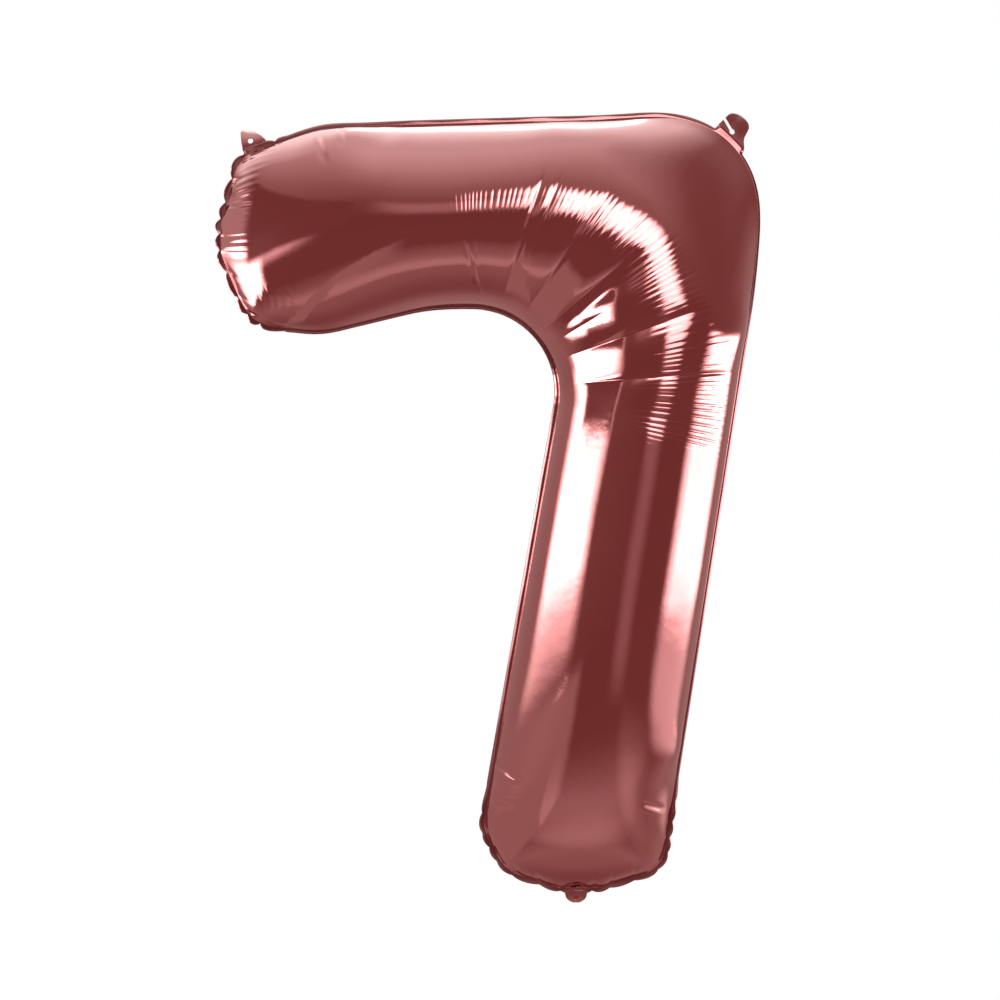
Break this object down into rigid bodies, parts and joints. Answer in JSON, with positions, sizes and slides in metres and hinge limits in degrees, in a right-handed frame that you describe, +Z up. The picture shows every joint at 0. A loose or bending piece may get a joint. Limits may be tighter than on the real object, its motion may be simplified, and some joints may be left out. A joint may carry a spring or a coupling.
{
  "type": "foil number balloon",
  "caption": "Inflated mirror-finish foil balloon in the shape of the digit seven, with welded seam, hanging tabs, filling neck and self-sealing valve.",
  "frame": {"origin": "ribbon tie point at the root of the filling neck, on the neck's centre line and in the seam plane", "axes": "+Z up along the digit's height, -Y out of the digit's front face, +X to the right as the digit is read"},
  "size_m": [0.6069, 0.204, 0.8806],
  "materials": {
    "panel_film": "mirror-finish rose metallised film, taut",
    "seam_film": "mirror-finish rose metallised film, welded flat and puckered",
    "tab_film": "mirror-finish rose metallised film, two plies welded",
    "neck_film": "mirror-finish rose metallised film, two plies",
    "valve_film": "thin milky polyethylene film",
    "valve_seal": "heat-sealed polyethylene edge",
    "release_ink": "printed heat-proof release ink"
  },
  "bodies": {
    "envelope": {"front_panel": "panel_film", "back_panel": "panel_film", "perimeter_seam": "seam_film", "valve_rear_film": "valve_film", "valve_tack": "valve_film", "valve_left_strip": "valve_seal", "valve_right_strip": "valve_seal", "valve_release_print": "release_ink"},
    "left_tab": {"left_hanging_tab": "tab_film"},
    "right_tab": {"right_hanging_tab": "tab_film"},
    "filling_neck": {"neck_front_ply": "neck_film", "neck_back_ply": "neck_film", "neck_weld": "neck_film"},
    "valve_lip": {"valve_front_film": "valve_film"}
  },
  "joints": [
    {"name": "left_tab_fold", "type": "hinge", "parent": "envelope", "child": "left_tab", "pos_m": [-0.3568, 0, 0.8295], "axis": [0.9368, 0, 0.3499], "range_deg": [-75, 75], "stiffness_Nm_per_rad": 0.0005},
    {"name": "right_tab_fold", "type": "hinge", "parent": "envelope", "child": "right_tab", "pos_m": [0.1736, 0, 0.8376], "axis": [0.7071, 0, -0.7071], "range_deg": [-75, 75], "stiffness_Nm_per_rad": 0.0005},
    {"name": "neck_fold", "type": "hinge", "parent": "envelope", "child": "filling_neck", "pos_m": [0, 0, 0], "axis": [1, 0, 0], "range_deg": [-75, 75], "stiffness_Nm_per_rad": 0.00005},
    {"name": "valve_lip_open", "type": "hinge", "parent": "envelope", "child": "valve_lip", "pos_m": [0, -0.0001, 0.0085], "axis": [1, 0, 0], "range_deg": [0, 2.5], "stiffness_Nm_per_rad": 0.0002}
  ]
}
